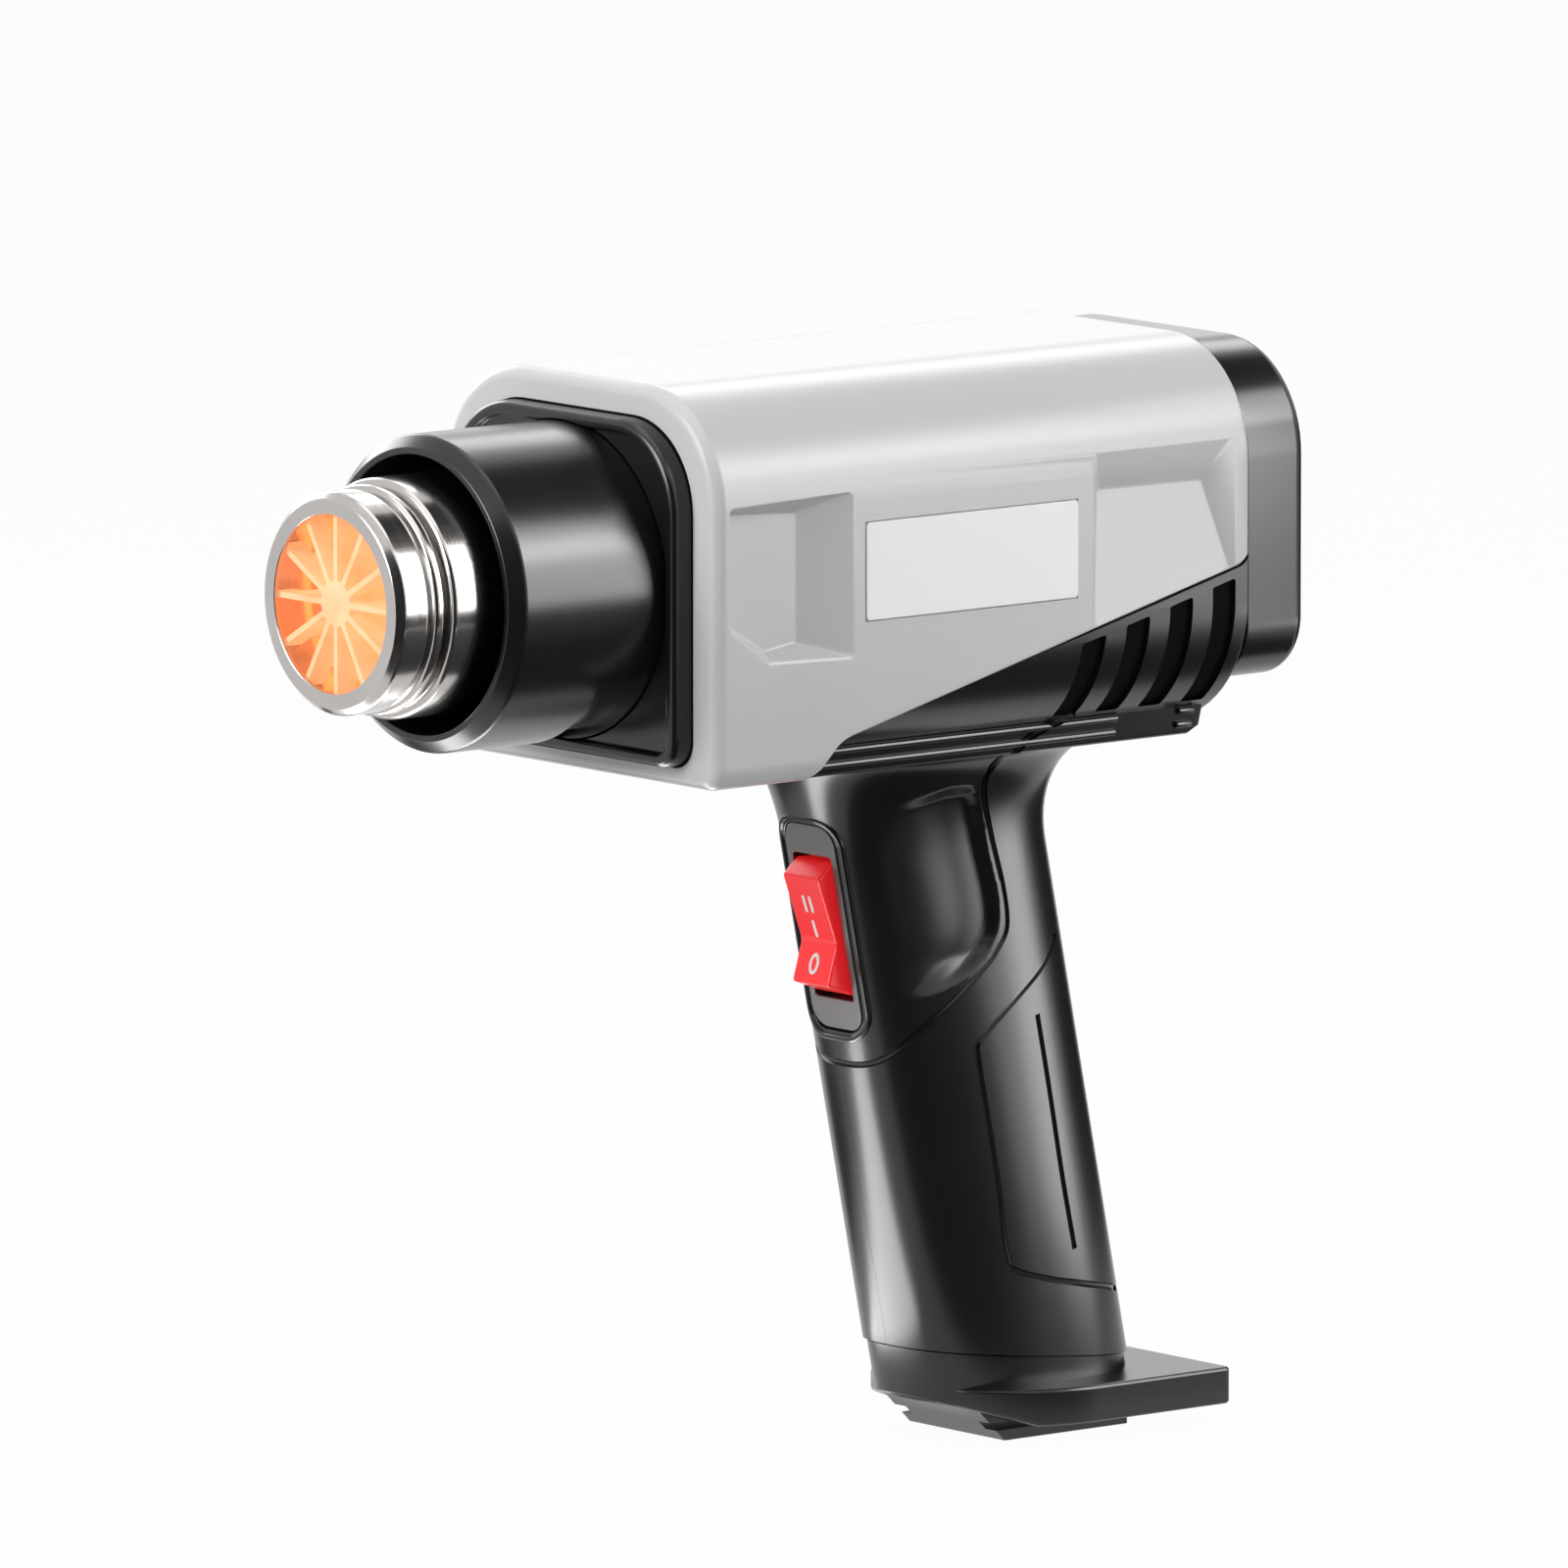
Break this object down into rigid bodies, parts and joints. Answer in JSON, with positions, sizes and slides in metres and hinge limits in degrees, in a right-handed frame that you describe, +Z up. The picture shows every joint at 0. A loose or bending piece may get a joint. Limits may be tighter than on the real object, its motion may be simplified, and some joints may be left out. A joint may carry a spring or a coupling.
{
  "type": "cordless_heat_gun",
  "caption": "Cordless pistol-grip hot air tool with a white cover, black housing, shrouded steel nozzle, red rocker switch and a slide-on battery shoe",
  "frame": {"origin": "middle of the battery shoe's flat underside", "axes": "+X the way the air blows, +Y the tool's left side, +Z up from the shoe to the barrel"},
  "size_m": [0.1885, 0.0758, 0.1935],
  "materials": {
    "black_plastic": "moulded black plastic, satin to gloss",
    "white_plastic": "moulded off-white plastic, satin",
    "label_white": "blank printed-label stock",
    "steel": "spun or plain stainless steel",
    "aluminium": "extruded",
    "mica": null,
    "heater_wire": "resistance wire, hot in use",
    "ceramic": null,
    "dark_iron": "dark sintered or laminated iron",
    "brass": "plain",
    "board_green": "solder-masked board",
    "red_plastic": "clear-tinted red plastic, polished",
    "red_lead": "silicone insulation",
    "black_lead": "silicone insulation"
  },
  "bodies": {
    "tool_body": {"left_housing": "black_plastic", "right_housing": "black_plastic", "upper_cover": "white_plastic", "left_label_plate": "label_white", "right_label_plate": "label_white", "front_collar": "black_plastic", "nozzle_shroud": "black_plastic", "nozzle_tube": "steel", "mica_sleeve": "mica", "heater_frame": "mica", "heating_coil": "heater_wire", "heater_base": "ceramic", "thermal_cutout": "dark_iron", "air_duct": "black_plastic", "motor_can": "steel", "motor_end_cap": "black_plastic", "front_bush": "brass", "rear_bush": "brass", "left_magnet": "dark_iron", "right_magnet": "dark_iron", "rear_cap": "black_plastic", "control_board": "board_green", "heat_sink": "aluminium", "board_capacitor": "dark_iron", "switch_body": "black_plastic", "switch_terminal_1": "brass", "switch_terminal_2": "brass", "switch_terminal_3": "brass", "battery_shoe": "black_plastic", "terminal_block": "black_plastic", "positive_blade": "brass", "negative_blade": "brass", "housing_screw_1": "steel", "housing_screw_2": "steel", "housing_screw_3": "steel", "left_cap_screw": "steel", "right_cap_screw": "steel", "positive_lead": "red_lead", "negative_lead": "black_lead", "low_speed_lead": "red_lead", "high_speed_lead": "red_lead", "left_motor_lead": "red_lead", "right_motor_lead": "black_lead", "left_heater_lead": "red_lead", "right_heater_lead": "red_lead"},
    "switch_rocker": {"rocker": "red_plastic"},
    "fan_rotor": {"fan_impeller": "white_plastic", "motor_shaft": "steel", "motor_rotor": "dark_iron"}
  },
  "joints": [
    {"name": "rocker_tilt", "type": "hinge", "parent": "tool_body", "child": "switch_rocker", "pos_m": [0.03915, 0, 0.09323], "axis": [0, 1, 0], "range_deg": [0, 14]},
    {"name": "fan_spin", "type": "hinge", "parent": "tool_body", "child": "fan_rotor", "pos_m": [0.0572, 0, 0.1585], "axis": [1, 0, 0], "continuous": true}
  ]
}
